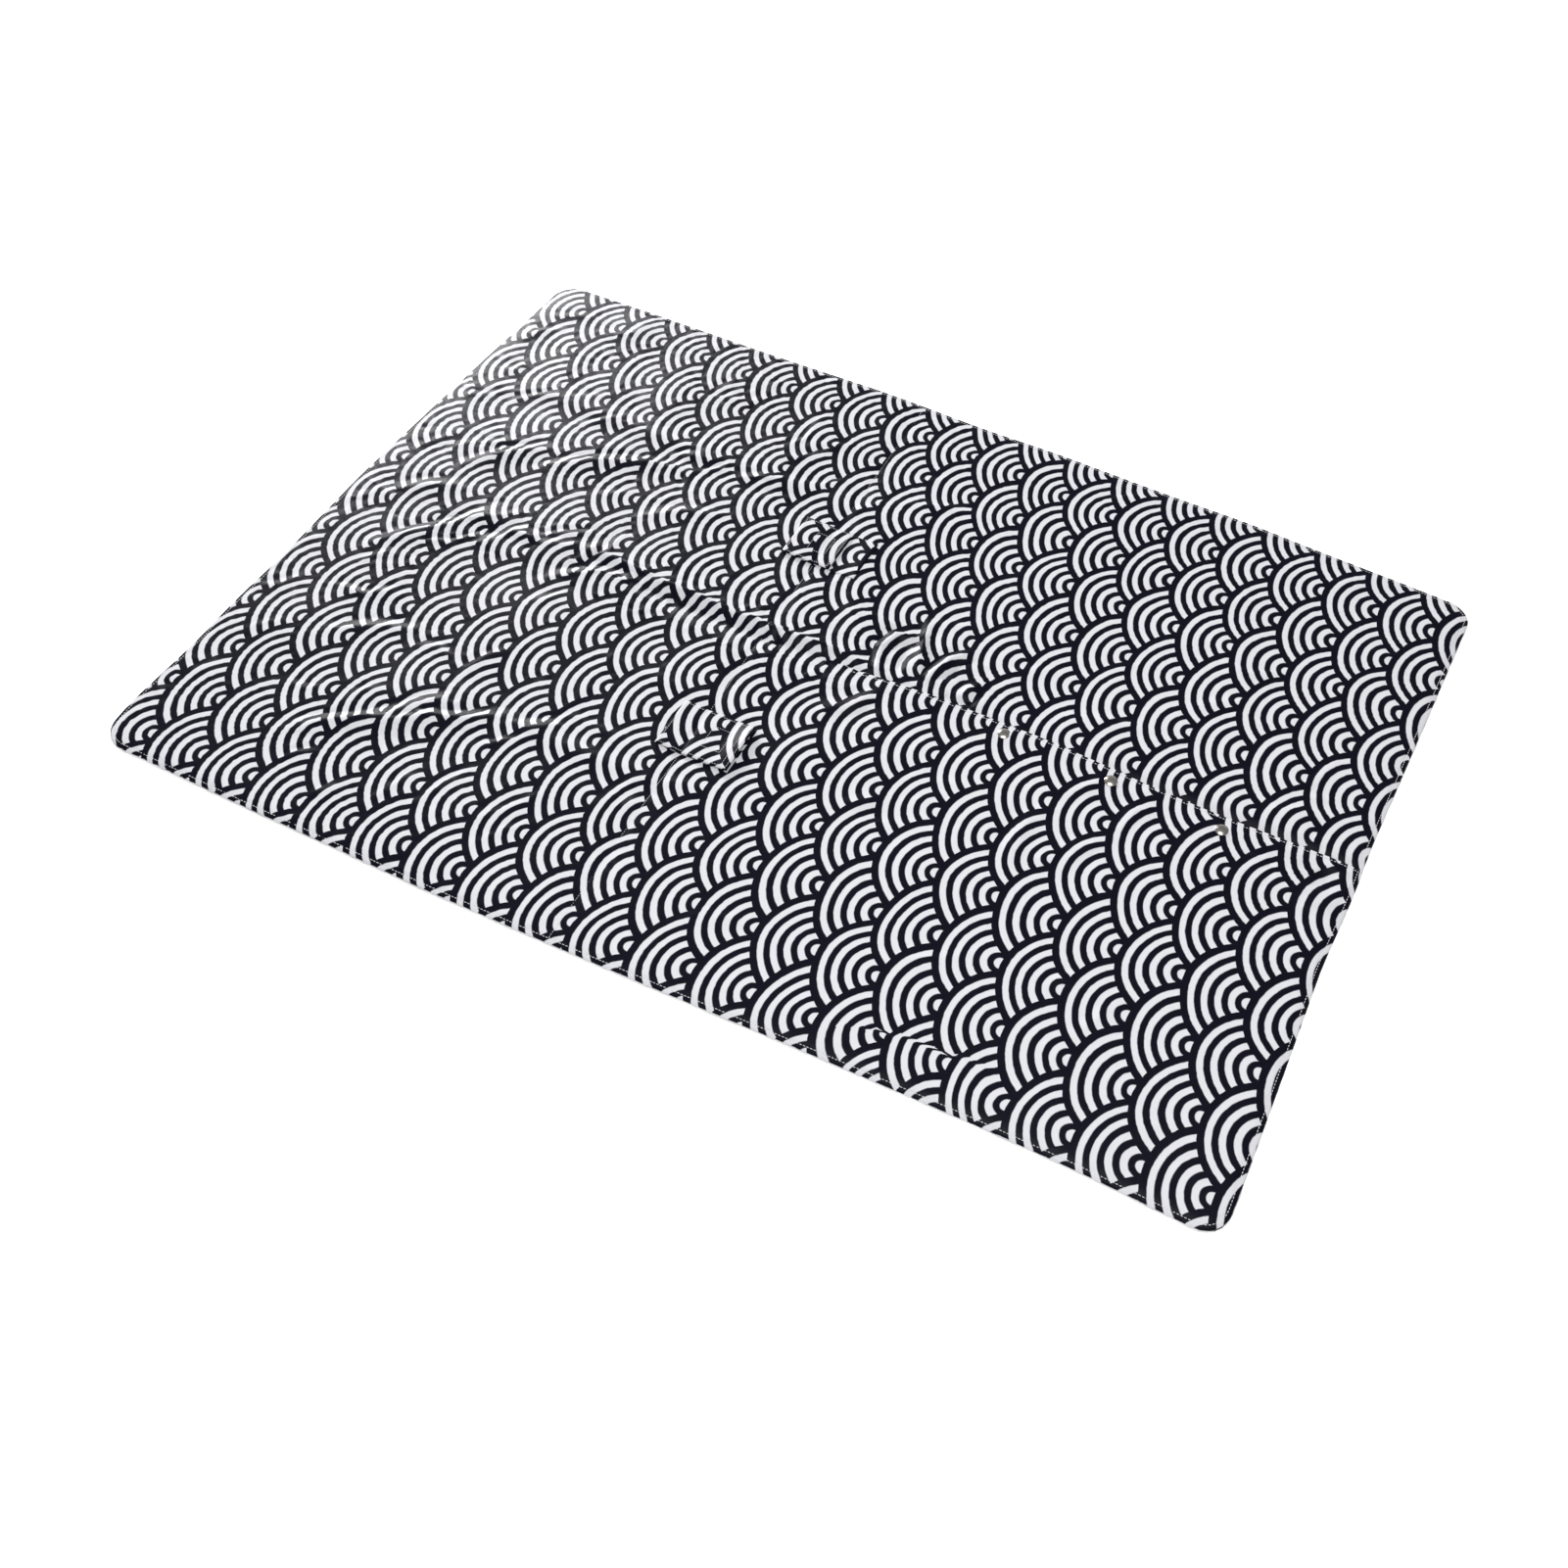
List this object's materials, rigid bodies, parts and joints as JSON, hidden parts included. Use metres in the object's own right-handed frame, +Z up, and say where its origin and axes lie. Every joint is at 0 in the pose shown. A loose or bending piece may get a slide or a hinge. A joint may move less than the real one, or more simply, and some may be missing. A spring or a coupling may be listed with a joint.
{
  "type": "wearable padded quilt",
  "caption": "Thin padded quilt with a wave-scale printed cotton cover and fleece lining, a buttoned neck slit and hook-and-loop tabs, laid flat.",
  "frame": {"origin": "middle of the outline, on the surface that the quilt lies on", "axes": "+X along the length towards the neck slit's mouth, +Y across the width, +Z up out of the printed side"},
  "size_m": [1.4009, 0.9832, 0.0135],
  "materials": {
    "printed_cotton": "woven cotton with a printed wave-scale pattern",
    "fleece": "short pile fleece",
    "wadding": "polyester wadding",
    "thread": "sewing thread",
    "nickel": "nickel plated, satin",
    "loop_tape": "loop tape",
    "hook_tape": "hook tape"
  },
  "bodies": {
    "back": {"cover_back": "printed_cotton", "batting_back": "wadding", "hem_back": "printed_cotton", "lining_back": "fleece", "edge_stitching_back": "thread", "seam_stitching": "thread", "near_tab_base": "printed_cotton", "near_tab_loop": "loop_tape", "far_tab_base": "printed_cotton", "far_tab_loop": "loop_tape"},
    "front": {"cover_front_far": "printed_cotton", "batting_front_far": "wadding", "hem_front_far": "printed_cotton", "lining_front_far": "fleece", "edge_stitching_front_far": "thread", "cover_front_near": "printed_cotton", "batting_front_near": "wadding", "hem_front_near": "printed_cotton", "lining_front_near": "fleece", "edge_stitching_front_near": "thread", "under_placket_cover": "printed_cotton", "under_placket_lining": "fleece", "snap_stud_1": "nickel", "snap_post_1": "nickel", "snap_stud_2": "nickel", "snap_post_2": "nickel", "snap_stud_3": "nickel", "snap_post_3": "nickel"},
    "lapel": {"cover_lapel": "printed_cotton", "batting_lapel": "wadding", "lining_lapel": "fleece", "placket_facing": "printed_cotton", "edge_stitching_lapel": "thread", "snap_cap_1": "nickel", "snap_socket_1": "nickel", "snap_cap_2": "nickel", "snap_socket_2": "nickel", "snap_cap_3": "nickel", "snap_socket_3": "nickel"},
    "near_flap": {"near_tab_hook": "hook_tape", "near_tab_flap": "printed_cotton", "near_tab_stitching": "thread"},
    "far_flap": {"far_tab_hook": "hook_tape", "far_tab_flap": "printed_cotton", "far_tab_stitching": "thread"}
  },
  "joints": [
    {"name": "half_fold", "type": "hinge", "parent": "back", "child": "front", "pos_m": [0, 0, 0.021], "axis": [0, -1, 0], "range_deg": [0, 179.8]},
    {"name": "lapel_fold", "type": "hinge", "parent": "front", "child": "lapel", "pos_m": [0.014, 0.012, 0.012], "axis": [0.9483, -0.3173, 0], "range_deg": [0, 179.8]},
    {"name": "near_flap_fold", "type": "hinge", "parent": "back", "child": "near_flap", "pos_m": [-0.115, -0.162, 0.0118], "axis": [0, -1, 0], "range_deg": [0, 174]},
    {"name": "far_flap_fold", "type": "hinge", "parent": "back", "child": "far_flap", "pos_m": [-0.137, 0.1805, 0.0118], "axis": [0, -1, 0], "range_deg": [0, 174]}
  ]
}
